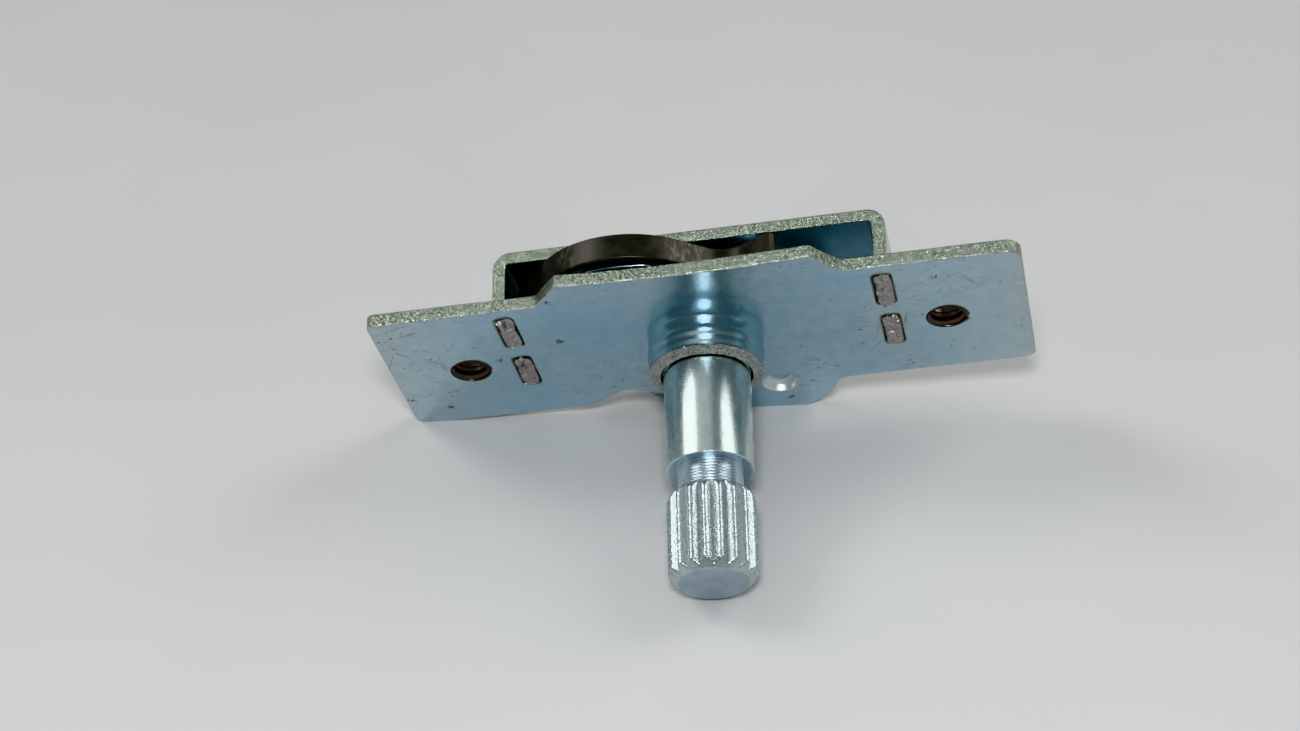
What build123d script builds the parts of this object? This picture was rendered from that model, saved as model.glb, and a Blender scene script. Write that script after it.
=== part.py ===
"""Handle spindle mechanism: a splined spindle that turns a cam lever between a plate and a riveted bracket.

The frame: the origin is on the spindle's axis, in the plate's front (mounting) face.
+X runs along the plate, +Y goes back into the mechanism and +Z is up. The spindle points along -Y.
All sizes are in millimetres, and outlines are drawn in the XZ plane as (x, z) points.
"""

from build123d import *
import math
import os

os.makedirs("parts", exist_ok=True)

# ---- driving dimensions ----

# Front plate
PLATE_T = 1.8
PLATE_HALF = 40.0
WING_TOP = 13.4
WING_BOTTOM = -12.2
CROWN_TOP = 17.5
CROWN_SAG = 0.65
CROWN_HALF = 15.4
CROWN_FOOT = 18.7
CORNERS = {(-1, 1): 1.0, (1, 1): 2.0, (1, -1): 1.3, (-1, -1): 2.0}
CROWN_R = 0.6
NOTCH_FOOT_X = -16.8
NOTCH_X = -11.9
NOTCH_Z = -9.0
NOTCH_R = 2.0
NOTCH_FOOT_R = 3.0
LOBE_X = 7.8
LOBE_Z = -11.5
LOBE_R = 7.1
LOBE_BLEND_R = 2.0

# Two tapped M5 holes, modelled at the thread's minor diameter
BOLT_HALF = 30.0
THREAD_MINOR_R = 2.1
THREAD_MOUTH_R = 2.55
PLUNGE_R = 3.2
PLUNGE_Y = 3.0

# Stop: a dimple on the front that stands out as a boss on the back
STOP_X = 7.6
STOP_Z = -11.7
STOP_R = 2.4
STOP_DEPTH = 1.2
STOP_RECESS_R = 2.3
STOP_FLOOR_R = 1.5

# Collar drawn out of the plate round the spindle
BORE_R = 5.46
COLLAR_BLEND = 0.7
COLLAR_BASE_R = 7.2
COLLAR_RIM_R = 7.07
COLLAR_RIM_Y = -4.15
COLLAR_MOUTH_R = 5.8
COLLAR_MOUTH_Y = -4.7
BORE_ENTRY = 1.0

# Rear bracket: a U whose tenons are staked in the plate's slots
BRACKET_T = 1.6
BRACKET_HALF = 24.2
BRACKET_BACK = 8.8
BRACKET_TOP = 12.6
BRACKET_BOTTOM = -6.4
BEND_OUTER_R = 2.2
BEND_INNER_R = 0.6
SLOT_X = 23.15
SLOT_W = 2.4
SLOT_H = 6.8
TENON_H = 6.1
STAKE_SPREAD = 0.2
STAKE_DEPTH = 0.5
TENON_ZS = (7.9, -1.65)

# Spindle
SPINDLE_R = 5.4
TIP_Y = -32.8
TIP_FACE_R = 4.25
TIP_CHAMFER = 1.1
HEAD_Y = -21.1
HEAD_ROUND = 1.3
GROOVE_Y = -17.9
GROOVE_R = 3.95
SHOULDER_BREAK = 0.15
RELIEF_FRONT = -4.8
RELIEF_BACK = -4.15
RELIEF_R = 5.2
SPLINE_TEETH = 18
SPLINE_ROOT_R = 4.72
SPLINE_CREST = 0.34
SQUARE = 8.0
JOURNAL_R = 3.8
JOURNAL_HOLE_R = 3.86
JOURNAL_END = 9.6
JOURNAL_CHAMFER = 0.4

# Cam lever
LEVER_FRONT = 2.4
LEVER_BACK = 5.4
HUB_R = 10.4
CAM_R = 11.5
CAM_FROM = 28.0
CAM_TO = 100.0
NOSE_X = -8.2
NOSE_TOP = 16.35
NOSE_CROWN_R = 20.0
NOSE_HALF = 4.6
NOSE_CORNER_R = 1.6
STOP_ARM_HALF = 3.5
STOP_ARM_REACH = 14.0
ROD_ARM_HALF = 3.6
ROD_ARM_REACH = 15.0
ROD_HOLE_R = 2.1
SWING = 34.0
STOP_GAP_DEG = 0.25

# Leaf spring
LEAF_T = 1.1
LEAF_FRONT = 2.6
LEAF_W = 3.4
LEAF_TAIL_Z = -3.5
LEAF_RISE_DEG = 52.0
LEAF_ARCH_X = -8.3
LEAF_ARCH_Z = 6.15
LEAF_ARCH_R = 11.5
LEAF_TAIL_R = 5.0
LEAF_TROUGH = (4.56, 10.69)
LEAF_TROUGH_R = 4.0
LEAF_END = (10.75, 14.37)

# Rivet that holds the leaf spring's tail to the bracket
RIVET_Z = 0.6
RIVET_R = 0.9
RIVET_HOLE_R = 0.92
RIVET_HEAD_R = 1.9
RIVET_HEAD_H = 0.9
RIVET_TAIL_R = 1.5
RIVET_TAIL_H = 0.6

# Washers
WASHER_R = 8.2
WASHER_FROM = 1.84
WASHER_TO = 2.36
DISH_IN_R = 3.9
DISH_OUT_R = 8.0
DISH_T = 0.5
DISH_PLAY = 0.03


# ---- helpers ----


def slab(sketch, front, back):
    """A flat piece with an XZ outline, from y = front to y = back."""
    return extrude(Plane.XZ.offset(-front) * sketch, amount=front - back)


def turned(points):
    """A turned piece from (radius, y) points, round the Y axis."""
    return revolve(make_face(Polyline(*points, close=True)), Axis.Y)


def polar(radius, degrees):
    """The (x, z) point at a radius and an angle from +X towards +Z."""
    angle = math.radians(degrees)
    return (radius * math.cos(angle), radius * math.sin(angle))


def round_corner(face, point, radius):
    """The face with its corner nearest the point rounded."""
    corner = face.vertices().sort_by_distance(Vector(*point, 0))[0]
    return fillet(corner, radius)


def arm(half_width, reach, degrees):
    """A round-ended arm from the spindle's axis outwards."""
    shape = Pos(reach / 2, 0) * Rectangle(reach, 2 * half_width) + Pos(reach, 0) * Circle(half_width)
    return Rot(0, 0, degrees) * shape


# ---- front plate ----


def plate_outline():
    """The plate's outline: two wings, a crown above and a lobe for the stop below."""
    # the straight edge from the notch runs onto the lobe as a tangent
    reach = math.hypot(LOBE_X - NOTCH_X, LOBE_Z - NOTCH_Z)
    slope = math.atan2(LOBE_Z - NOTCH_Z, LOBE_X - NOTCH_X) - math.asin(LOBE_R / reach)
    run = math.sqrt(reach**2 - LOBE_R**2)
    touch = (NOTCH_X + run * math.cos(slope), NOTCH_Z + run * math.sin(slope))
    lobe_end = (LOBE_X + math.sqrt(LOBE_R**2 - (WING_BOTTOM - LOBE_Z) ** 2), WING_BOTTOM)
    lobe_low = (LOBE_X, LOBE_Z - LOBE_R)
    crown_right = (CROWN_HALF, CROWN_TOP)
    crown_left = (-CROWN_HALF, CROWN_TOP)
    with BuildLine() as edge:
        Polyline(
            crown_left,
            (-CROWN_FOOT, WING_TOP),
            (-PLATE_HALF, WING_TOP),
            (-PLATE_HALF, WING_BOTTOM),
            (NOTCH_FOOT_X, WING_BOTTOM),
            (NOTCH_X, NOTCH_Z),
            touch,
        )
        ThreePointArc(touch, lobe_low, lobe_end)
        Polyline(
            lobe_end,
            (PLATE_HALF, WING_BOTTOM),
            (PLATE_HALF, WING_TOP),
            (CROWN_FOOT, WING_TOP),
            crown_right,
        )
        ThreePointArc(crown_right, (0, CROWN_TOP - CROWN_SAG), crown_left)
    face = make_face(edge.line)
    for (side, level), radius in CORNERS.items():
        height = WING_TOP if level > 0 else WING_BOTTOM
        face = round_corner(face, (side * PLATE_HALF, height), radius)
    for side in (-1, 1):
        face = round_corner(face, (side * CROWN_FOOT, WING_TOP), CROWN_R)
        face = round_corner(face, (side * CROWN_HALF, CROWN_TOP), CROWN_R)
    face = round_corner(face, (NOTCH_FOOT_X, WING_BOTTOM), NOTCH_FOOT_R)
    face = round_corner(face, (NOTCH_X, NOTCH_Z), NOTCH_R)
    return round_corner(face, lobe_end, LOBE_BLEND_R)


def collar():
    """The drawn collar and the ring of plate that it grows from, as one turned ring."""
    blend_r = COLLAR_BASE_R + COLLAR_BLEND
    hollow = COLLAR_BLEND * (1 - math.sqrt(0.5))
    entry = BORE_ENTRY * (1 - math.sqrt(0.5))
    with BuildLine() as section:
        Polyline(
            (BORE_R, PLATE_T - BORE_ENTRY),
            (BORE_R, COLLAR_RIM_Y),
            (COLLAR_MOUTH_R, COLLAR_MOUTH_Y),
            (COLLAR_RIM_R, COLLAR_RIM_Y),
            (COLLAR_BASE_R, -COLLAR_BLEND),
        )
        ThreePointArc((COLLAR_BASE_R, -COLLAR_BLEND), (COLLAR_BASE_R + hollow, -hollow), (blend_r, 0))
        Polyline((blend_r, 0), (blend_r, PLATE_T), (BORE_R + BORE_ENTRY, PLATE_T))
        ThreePointArc(
            (BORE_R + BORE_ENTRY, PLATE_T),
            (BORE_R + entry, PLATE_T - entry),
            (BORE_R, PLATE_T - BORE_ENTRY),
        )
    return revolve(make_face(section.line), Axis.Y)


def front_plate():
    """The plate with its collar, slots, tapped holes and stop."""
    sheet = slab(plate_outline(), 0, PLATE_T)
    sheet -= slab(Circle(COLLAR_BASE_R + COLLAR_BLEND), 0, PLATE_T)
    sheet += collar()
    for side in (-1, 1):
        for slot_z in TENON_ZS:
            sheet -= slab(Pos(side * SLOT_X, slot_z) * RectangleRounded(SLOT_W, SLOT_H, 0.3), 0, PLATE_T)
        mouth = THREAD_MOUTH_R - THREAD_MINOR_R
        drill = turned(
            [
                (0, 0),
                (THREAD_MOUTH_R, 0),
                (THREAD_MINOR_R, mouth),
                (THREAD_MINOR_R, PLUNGE_Y),
                (0, PLUNGE_Y),
            ]
        )
        # the punch pushes a short neck out of the back, so that the screw has more thread
        sheet += slab(Pos(side * BOLT_HALF, 0) * Circle(PLUNGE_R), PLATE_T / 2, PLUNGE_Y)
        sheet -= Pos(side * BOLT_HALF, 0, 0) * drill
    boss = Pos(STOP_X, STOP_Z) * Circle(STOP_R)
    sheet += slab(boss, PLATE_T / 2, PLATE_T + STOP_DEPTH)
    dish = turned([(0, 0), (STOP_RECESS_R, 0), (STOP_FLOOR_R, STOP_DEPTH), (0, STOP_DEPTH)])
    sheet -= Pos(STOP_X, 0, STOP_Z) * dish
    return sheet


# ---- rear bracket ----


def rear_bracket():
    """The U bracket: a back wall with the spindle's rear bearing, two legs and four tenons."""
    inner_half = BRACKET_HALF - BRACKET_T
    inner_back = BRACKET_BACK - BRACKET_T
    with BuildLine() as section:
        FilletPolyline(
            (-BRACKET_HALF, PLATE_T),
            (-BRACKET_HALF, BRACKET_BACK),
            (BRACKET_HALF, BRACKET_BACK),
            (BRACKET_HALF, PLATE_T),
            radius=BEND_OUTER_R,
        )
        Line((BRACKET_HALF, PLATE_T), (inner_half, PLATE_T))
        FilletPolyline(
            (inner_half, PLATE_T),
            (inner_half, inner_back),
            (-inner_half, inner_back),
            (-inner_half, PLATE_T),
            radius=BEND_INNER_R,
        )
        Line((-inner_half, PLATE_T), (-BRACKET_HALF, PLATE_T))
    wall = Pos(0, 0, BRACKET_BOTTOM) * extrude(make_face(section.line), amount=BRACKET_TOP - BRACKET_BOTTOM)
    leg_x = BRACKET_HALF - BRACKET_T / 2
    for side in (-1, 1):
        for tenon_z in TENON_ZS:
            at = Pos(side * leg_x, tenon_z)
            wall += slab(at * Rectangle(BRACKET_T, TENON_H), 0, PLATE_T)
            spread = 2 * STAKE_SPREAD
            wall += slab(at * Rectangle(BRACKET_T + spread, TENON_H + spread), 0, STAKE_DEPTH)
    wall -= slab(Circle(JOURNAL_HOLE_R), inner_back, BRACKET_BACK)
    rivet_hole = Cylinder(RIVET_HOLE_R, 4 * BRACKET_T, rotation=(0, 90, 0))
    wall -= Pos(-BRACKET_HALF, LEAF_FRONT + LEAF_W / 2, RIVET_Z) * rivet_hole
    return wall


# ---- spindle ----


def handle_spindle():
    """The turned spindle: splined head, clip groove, sleeve, square for the lever and rear journal."""
    head_back_r = SPINDLE_R - HEAD_ROUND
    round_in = HEAD_ROUND * math.sqrt(0.5)
    with BuildLine() as section:
        Polyline(
            (GROOVE_R, HEAD_Y),
            (GROOVE_R, GROOVE_Y),
            (SPINDLE_R - SHOULDER_BREAK, GROOVE_Y),
            (SPINDLE_R, GROOVE_Y + SHOULDER_BREAK),
            # a shallow relief at the collar's mouth, between the sleeve and the bearing length
            (SPINDLE_R, RELIEF_FRONT),
            (RELIEF_R, RELIEF_FRONT),
            (RELIEF_R, RELIEF_BACK),
            (SPINDLE_R, RELIEF_BACK),
            (SPINDLE_R, LEVER_BACK),
            (JOURNAL_R, LEVER_BACK),
            (JOURNAL_R, JOURNAL_END - JOURNAL_CHAMFER),
            (JOURNAL_R - JOURNAL_CHAMFER, JOURNAL_END),
            (0, JOURNAL_END),
            (0, TIP_Y),
            (TIP_FACE_R, TIP_Y),
            (SPINDLE_R, TIP_Y + TIP_CHAMFER),
            (SPINDLE_R, HEAD_Y - HEAD_ROUND),
        )
        ThreePointArc(
            (SPINDLE_R, HEAD_Y - HEAD_ROUND),
            (head_back_r + round_in, HEAD_Y - HEAD_ROUND + round_in),
            (head_back_r, HEAD_Y),
        )
        Line((head_back_r, HEAD_Y), (GROOVE_R, HEAD_Y))
    shaft = revolve(make_face(section.line), Axis.Y)
    # the square that drives the lever, its corners left at the sleeve's radius
    square_ring = Circle(SPINDLE_R + 1) - Rectangle(SQUARE, SQUARE)
    shaft -= slab(square_ring, LEVER_FRONT, LEVER_BACK)
    # V grooves cut along the head leave narrow crested teeth
    pitch = 2 * math.pi * SPINDLE_R / SPLINE_TEETH
    half_mouth = (pitch - SPLINE_CREST) / 2
    overshoot = 2
    mouth_r = SPLINE_ROOT_R + overshoot * (SPINDLE_R - SPLINE_ROOT_R)
    vee = make_face(
        Polyline(
            (SPLINE_ROOT_R, 0),
            (mouth_r, overshoot * half_mouth),
            (mouth_r, -overshoot * half_mouth),
            close=True,
        )
    )
    for tooth in range(SPLINE_TEETH):
        shaft -= slab(Rot(0, 0, tooth * 360 / SPLINE_TEETH) * vee, TIP_Y, HEAD_Y)
    return shaft


# ---- cam lever ----


def stop_angle():
    """The stop's direction from the spindle's axis, in degrees."""
    return math.degrees(math.atan2(STOP_Z, STOP_X))


def clear_of_stop(half_width):
    """The angle between an arm's centre line and the stop when the arm's edge meets it."""
    return math.degrees(math.asin((half_width + STOP_R) / math.hypot(STOP_X, STOP_Z)))


def cam_lever():
    """The stamped lever: a round cam, a nose under the leaf's arch, a stop arm and a rod arm."""
    cam = Circle(HUB_R)
    sweep = CAM_TO - CAM_FROM
    with BuildLine() as sector:
        Line((0, 0), polar(CAM_R, CAM_FROM))
        ThreePointArc(polar(CAM_R, CAM_FROM), polar(CAM_R, CAM_FROM + sweep / 2), polar(CAM_R, CAM_TO))
        Line(polar(CAM_R, CAM_TO), (0, 0))
    cam += make_face(sector.line)
    # the nose's flat crown is an arc, and its two shoulders are rounded
    shoulder = NOSE_TOP - NOSE_CROWN_R + math.sqrt(NOSE_CROWN_R**2 - NOSE_HALF**2)
    left = (NOSE_X - NOSE_HALF, shoulder)
    right = (NOSE_X + NOSE_HALF, shoulder)
    with BuildLine() as nose_edge:
        ThreePointArc(left, (NOSE_X, NOSE_TOP), right)
        Polyline(right, (0, 0), polar(HUB_R, 180), left)
    nose = make_face(nose_edge.line)
    nose = round_corner(nose, left, NOSE_CORNER_R)
    cam += round_corner(nose, right, NOSE_CORNER_R)
    stop_arm_at = stop_angle() + clear_of_stop(STOP_ARM_HALF) + STOP_GAP_DEG
    rod_arm_at = stop_angle() - clear_of_stop(ROD_ARM_HALF) - STOP_GAP_DEG - SWING
    cam += arm(STOP_ARM_HALF, STOP_ARM_REACH, stop_arm_at)
    cam += arm(ROD_ARM_HALF, ROD_ARM_REACH, rod_arm_at)
    square = Rectangle(SQUARE, SQUARE) & Circle(SPINDLE_R)
    cam -= square
    rod_x, rod_z = polar(ROD_ARM_REACH, rod_arm_at)
    print(f"rod hole at x {rod_x:.3f} z {rod_z:.3f}, rod arm at {rod_arm_at:.2f} degrees")
    cam -= Pos(rod_x, rod_z) * Circle(ROD_HOLE_R)
    return slab(cam, LEVER_FRONT, LEVER_BACK)


# ---- leaf spring and its rivet ----


def leaf_spring():
    """The flat spring: a riveted tail, an arch over the nose, a trough on the cam and a raised end."""
    tail_x = -(BRACKET_HALF - BRACKET_T - LEAF_T / 2)
    rise = math.radians(LEAF_RISE_DEG)
    # the arch is one arc, so its two straight neighbours meet at the corner of their tangents
    start = (LEAF_ARCH_X - LEAF_ARCH_R * math.sin(rise), LEAF_ARCH_Z + LEAF_ARCH_R * math.cos(rise))
    tail_top = start[1] - math.tan(rise) * (start[0] - tail_x)
    fall = math.atan2(LEAF_ARCH_Z - LEAF_TROUGH[1], LEAF_TROUGH[0] - LEAF_ARCH_X)
    reach = math.hypot(LEAF_TROUGH[0] - LEAF_ARCH_X, LEAF_TROUGH[1] - LEAF_ARCH_Z)
    fall += math.asin(LEAF_ARCH_R / reach)
    turn = rise + fall
    corner_run = LEAF_ARCH_R * math.tan(turn / 2)
    corner = (start[0] + corner_run * math.cos(rise), start[1] + corner_run * math.sin(rise))
    middle = FilletPolyline(
        (tail_x, LEAF_TAIL_Z),
        (tail_x, tail_top),
        corner,
        LEAF_TROUGH,
        LEAF_END,
        radius=[LEAF_TAIL_R, LEAF_ARCH_R, LEAF_TROUGH_R],
    )
    strip = slab(trace(middle, LEAF_T), LEAF_FRONT, LEAF_FRONT + LEAF_W)
    hole = Cylinder(RIVET_HOLE_R, 2 * LEAF_T, rotation=(0, 90, 0))
    return strip - Pos(tail_x, LEAF_FRONT + LEAF_W / 2, RIVET_Z) * hole


def spring_rivet():
    """The rivet through the bracket's left leg and the spring's tail."""
    outside = -BRACKET_HALF
    inside = -(BRACKET_HALF - BRACKET_T - LEAF_T)
    crown = 0.5
    # drawn round Y from y = 0 at the leg's outer face, then turned to lie along X
    length = inside - outside
    shape = turned(
        [
            (0, -RIVET_HEAD_H),
            (RIVET_HEAD_R * crown, -RIVET_HEAD_H),
            (RIVET_HEAD_R, -RIVET_HEAD_H / 3),
            (RIVET_HEAD_R, 0),
            (RIVET_R, 0),
            (RIVET_R, length),
            (RIVET_TAIL_R, length),
            (RIVET_TAIL_R, length + RIVET_TAIL_H / 3),
            (RIVET_TAIL_R * crown, length + RIVET_TAIL_H),
            (0, length + RIVET_TAIL_H),
        ]
    )
    return Pos(outside, LEAF_FRONT + LEAF_W / 2, RIVET_Z) * Rot(0, 0, -90) * shape


# ---- washers ----


def front_washer():
    """The flat washer between the plate and the lever."""
    return slab(Circle(WASHER_R) - Circle(BORE_R), WASHER_FROM, WASHER_TO)


def dished_washer():
    """The dished spring washer between the lever and the bracket, which takes up end play."""
    near = LEVER_BACK + DISH_PLAY
    far = BRACKET_BACK - BRACKET_T - DISH_PLAY
    return turned(
        [
            (DISH_IN_R, near),
            (DISH_IN_R, near + DISH_T),
            (DISH_OUT_R, far),
            (DISH_OUT_R, far - DISH_T),
        ]
    )


# ---- write one file per piece ----

PIECES = {
    "front_plate": front_plate,
    "rear_bracket": rear_bracket,
    "handle_spindle": handle_spindle,
    "cam_lever": cam_lever,
    "leaf_spring": leaf_spring,
    "spring_rivet": spring_rivet,
    "front_washer": front_washer,
    "dished_washer": dished_washer,
}

for name, make in PIECES.items():
    piece = make()
    piece.label = name
    export_step(piece, f"parts/{name}.step")
    size = piece.bounding_box().size
    print(f"{name}: {size.X:.2f} x {size.Y:.2f} x {size.Z:.2f} mm, {piece.volume:.1f} mm3")
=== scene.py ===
# %% [markdown]
# # A handle spindle mechanism in zinc-plated steel
# A lever behind a sheet-metal plate is turned by a splined spindle, and a dark leaf spring presses on it.
# The imported model gives every part its place. This lesson builds the finished look of each part around it:
# rounded edges that catch the light, drawn and sheared metal, threads, teeth and the plating itself.
# The frame is loaded first.

# %% Load the frame
import math

import bmesh
import bpy
from mathutils import Matrix, Vector, noise


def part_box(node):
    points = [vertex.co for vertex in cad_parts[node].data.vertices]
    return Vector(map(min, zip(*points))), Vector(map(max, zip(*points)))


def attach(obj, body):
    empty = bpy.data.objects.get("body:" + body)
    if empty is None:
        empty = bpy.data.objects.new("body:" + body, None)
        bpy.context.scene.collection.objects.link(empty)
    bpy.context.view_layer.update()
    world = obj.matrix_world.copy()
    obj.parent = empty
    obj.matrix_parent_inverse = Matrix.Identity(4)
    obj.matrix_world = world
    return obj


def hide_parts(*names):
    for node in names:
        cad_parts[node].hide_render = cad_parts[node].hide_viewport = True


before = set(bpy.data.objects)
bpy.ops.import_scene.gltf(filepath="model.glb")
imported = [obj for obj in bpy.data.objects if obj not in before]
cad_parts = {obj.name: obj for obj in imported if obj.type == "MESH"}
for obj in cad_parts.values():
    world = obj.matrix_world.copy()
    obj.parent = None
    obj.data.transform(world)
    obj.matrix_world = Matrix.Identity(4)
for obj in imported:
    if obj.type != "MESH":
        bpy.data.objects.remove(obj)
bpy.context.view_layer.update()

MM = 0.001


def box_mm(node):
    """A node's lowest and highest corners, in millimetres."""
    low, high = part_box(node)
    return Vector(low) / MM, Vector(high) / MM


# %% [markdown]
# ## Outlines
# Pressed parts are flat shapes with rounded corners. An outline here is a short list of corners, each with its own
# radius, and one function turns every corner into an arc. Writing arcs by formula keeps the corners round at any
# size, where a hand-typed list of points would show flats.

# %% Outline helpers
CORNER_STEPS = 6


def arc(centre, radius, start, end, steps):
    """Points along an arc, from one angle to another in degrees."""
    points = []
    for i in range(steps + 1):
        angle = math.radians(start + (end - start) * i / steps)
        points.append((centre[0] + radius * math.cos(angle), centre[1] + radius * math.sin(angle)))
    return points


def circle(radius, steps, centre=(0, 0)):
    """A closed circle of points."""
    return arc(centre, radius, 0, 360, steps)[:-1]


def rounded(corners, closed=True, steps=CORNER_STEPS):
    """The outline of (a, b, radius) corners. A radius of 0 keeps the point."""
    points = []
    count = len(corners)
    for i, (a, b, radius) in enumerate(corners):
        here = Vector((a, b))
        if radius == 0 or (not closed and i in (0, count - 1)):
            points.append((a, b))
            continue
        into = (here - Vector(corners[i - 1][:2])).normalized()
        out = (Vector(corners[(i + 1) % count][:2]) - here).normalized()
        turn = math.atan2(into.x * out.y - into.y * out.x, into.dot(out))
        start = here - into * radius * math.tan(abs(turn) / 2)
        side = math.copysign(1, turn)
        centre = start + Vector((-into.y, into.x)) * radius * side
        spoke = start - centre
        for k in range(steps + 1):
            angle = turn * k / steps
            cos, sin = math.cos(angle), math.sin(angle)
            turned = Vector((spoke.x * cos - spoke.y * sin, spoke.x * sin + spoke.y * cos))
            points.append(tuple(centre + turned))
    return points


def inset(outline, distance):
    """A closed outline moved inwards by a distance (outwards if negative), for an outline drawn anticlockwise."""
    moved = []
    count = len(outline)
    for i in range(count):
        before, here, after = (Vector(outline[(i + k) % count]) for k in (-1, 0, 1))
        first = (here - before).normalized()
        second = (after - here).normalized()
        left_a = Vector((-first.y, first.x))
        left_b = Vector((-second.y, second.x))
        moved.append(tuple(here + (left_a + left_b) * distance / (1 + left_a.dot(left_b))))
    return moved


print("a test square has", len(rounded([(0, 0, 1), (9, 0, 1), (9, 9, 1), (0, 9, 1)])), "points")

# %% [markdown]
# ## Skins from rings
# A turned part is rings of points round one axis, and a pressed part is its outline stepped through the sheet's
# thickness. Both are lofts: rows of points joined by bands of four-sided faces. Flat faces with holes are filled
# between their edge loops at the end. This gives a closed skin with no boolean cuts in the parts that show most.

# %% Skin helpers
def ring(bm, points):
    """New vertices at 3-D points in millimetres."""
    return [bm.verts.new(Vector(p) * MM) for p in points]


def flat_ring(bm, outline, y):
    """A ring of an (x, z) outline at a depth y."""
    return ring(bm, [(x, y, z) for x, z in outline])


def paint(face, zone):
    """Gives a face its finish and smooth shading."""
    face.material_index = zone
    face.smooth = True


def band(bm, first, second, zone=0):
    """Faces between two closed rings of the same length."""
    count = len(first)
    for i in range(count):
        j = (i + 1) % count
        paint(bm.faces.new((first[i], first[j], second[j], second[i])), zone)


def loft(bm, rings, zone=0):
    """Bands through a list of rings. Returns the first and the last."""
    for first, second in zip(rings, rings[1:]):
        band(bm, first, second, zone)
    return rings[0], rings[-1]


def cap(bm, last, zone=0):
    """One flat face across a ring."""
    paint(bm.faces.new(last), zone)


def fill(bm, loops, zone=0):
    """A flat face between an outer loop and the loops of its holes."""
    edges = [bm.edges.get((loop[i - 1], loop[i])) for loop in loops for i in range(len(loop))]
    made = bmesh.ops.triangle_fill(bm, use_beauty=True, use_dissolve=False, edges=edges)
    for face in made["geom"]:
        if isinstance(face, bmesh.types.BMFace):
            paint(face, zone)


def round_over(radius, start, direction):
    """(inset, height) pairs of a rounded edge that starts on a flat face and ends on the wall."""
    steps = 3
    pairs = []
    for i in range(steps + 1):
        angle = math.pi / 2 * i / steps
        pairs.append((radius * (1 - math.sin(angle)), start + direction * radius * (1 - math.cos(angle))))
    return pairs


def turned_rings(bm, profile, steps, centre=(0, 0)):
    """Rings round an axis along Y from (radius, y) points."""
    return [flat_ring(bm, circle(radius, steps, centre), y) for radius, y in profile]


# %% [markdown]
# ## From skin to piece
# Every piece gets the same finish: faces turned outwards, normals weighted by area so that wide flats stay flat
# right up to their rounded edges, and a body to ride on. The CAD node it stands for is hidden in the same step.

# %% Piece helper
SHARP_DEG = 50
WELD_MM = 0.0005
FLAT_WEIGHT = 60


def mesh_from(bm, name):
    """A mesh from a bmesh, which is used up."""
    mesh = bpy.data.meshes.new(name)
    bm.to_mesh(mesh)
    bm.free()
    return mesh


def placed(name, data):
    """A new object in the scene."""
    made = bpy.data.objects.new(name, data)
    bpy.context.scene.collection.objects.link(made)
    return made


def built(skin):
    """A bmesh filled by a skin function."""
    bm = bmesh.new()
    skin(bm)
    return bm


def make_piece(name, bm, materials, body, nodes=()):
    """A finished object from a bmesh, riding on a body and standing for its CAD nodes."""
    bmesh.ops.remove_doubles(bm, verts=bm.verts, dist=WELD_MM * MM)
    bmesh.ops.recalc_face_normals(bm, faces=bm.faces)
    mesh = mesh_from(bm, name)
    mesh.set_sharp_from_angle(angle=math.radians(SHARP_DEG))
    for material in materials:
        mesh.materials.append(material)
    piece = placed(name, mesh)
    weighted = piece.modifiers.new("even_normals", "WEIGHTED_NORMAL")
    weighted.keep_sharp = True
    weighted.weight = FLAT_WEIGHT
    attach(piece, body)
    if nodes:
        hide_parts(*nodes)
    print(name, len(mesh.polygons), "faces")
    return piece


# %% [markdown]
# ## Writing materials as text
# Node trees are built in the script. One helper adds a node, sets its options and plugs each input with either a
# plain value or another node's output, so that a finish reads from top to bottom like a recipe.

# %% Node helpers
def add(tree, kind, inputs=None, **options):
    """A new node. Inputs are named or numbered, and each is a value or a socket."""
    made = tree.nodes.new(kind)
    for key, value in options.items():
        setattr(made, key, value)
    for key, value in (inputs or {}).items():
        if isinstance(value, bpy.types.NodeSocket):
            tree.links.new(value, made.inputs[key])
        else:
            made.inputs[key].default_value = value
    return made


def new_material(name):
    """An empty material with its output, and the tree to fill."""
    material = bpy.data.materials.new(name)
    material.use_nodes = True
    material.node_tree.nodes.clear()
    return material, material.node_tree


def object_point(tree, turn=(0, 0, 0), stretch=(1, 1, 1), wander_mm=0.0):
    """The object's own coordinates: bent by slow noise, then turned, then stretched."""
    where = add(tree, "ShaderNodeTexCoord").outputs["Object"]
    if wander_mm:
        slow = add(tree, "ShaderNodeTexNoise", {"Vector": where, "Scale": 90.0, "Detail": 0.0}).outputs[1]
        slow = add(tree, "ShaderNodeVectorMath", {0: slow, 1: (0.5, 0.5, 0.5)}, operation="SUBTRACT").outputs[0]
        reach = (wander_mm * MM,) * 3
        bend = {0: slow, 1: reach, 2: where}
        where = add(tree, "ShaderNodeVectorMath", bend, operation="MULTIPLY_ADD").outputs[0]
    angles = [math.radians(t) for t in turn]
    where = add(tree, "ShaderNodeMapping", {"Vector": where, "Rotation": angles}).outputs[0]
    return add(tree, "ShaderNodeMapping", {"Vector": where, "Scale": stretch}).outputs[0]


def noise_value(tree, point, size_mm, detail=3, rough=0.55):
    """Soft noise from 0 to 1 whose features are about a size in millimetres."""
    inputs = {"Vector": point, "Scale": 1 / (size_mm * MM), "Detail": detail, "Roughness": rough}
    return add(tree, "ShaderNodeTexNoise", inputs).outputs[0]


def between(tree, value, low, high, to_low=0.0, to_high=1.0):
    """A value remapped from one range to another, and held inside it."""
    numbers = {1: low, 2: high, 3: to_low, 4: to_high}
    return add(tree, "ShaderNodeMapRange", {0: value, **numbers}).outputs[0]


def maths(tree, operation, *values):
    """The result of one sum on values or sockets."""
    return add(tree, "ShaderNodeMath", dict(enumerate(values)), operation=operation).outputs[0]


def times(tree, first, second):
    """The product of two values."""
    return maths(tree, "MULTIPLY", first, second)


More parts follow.
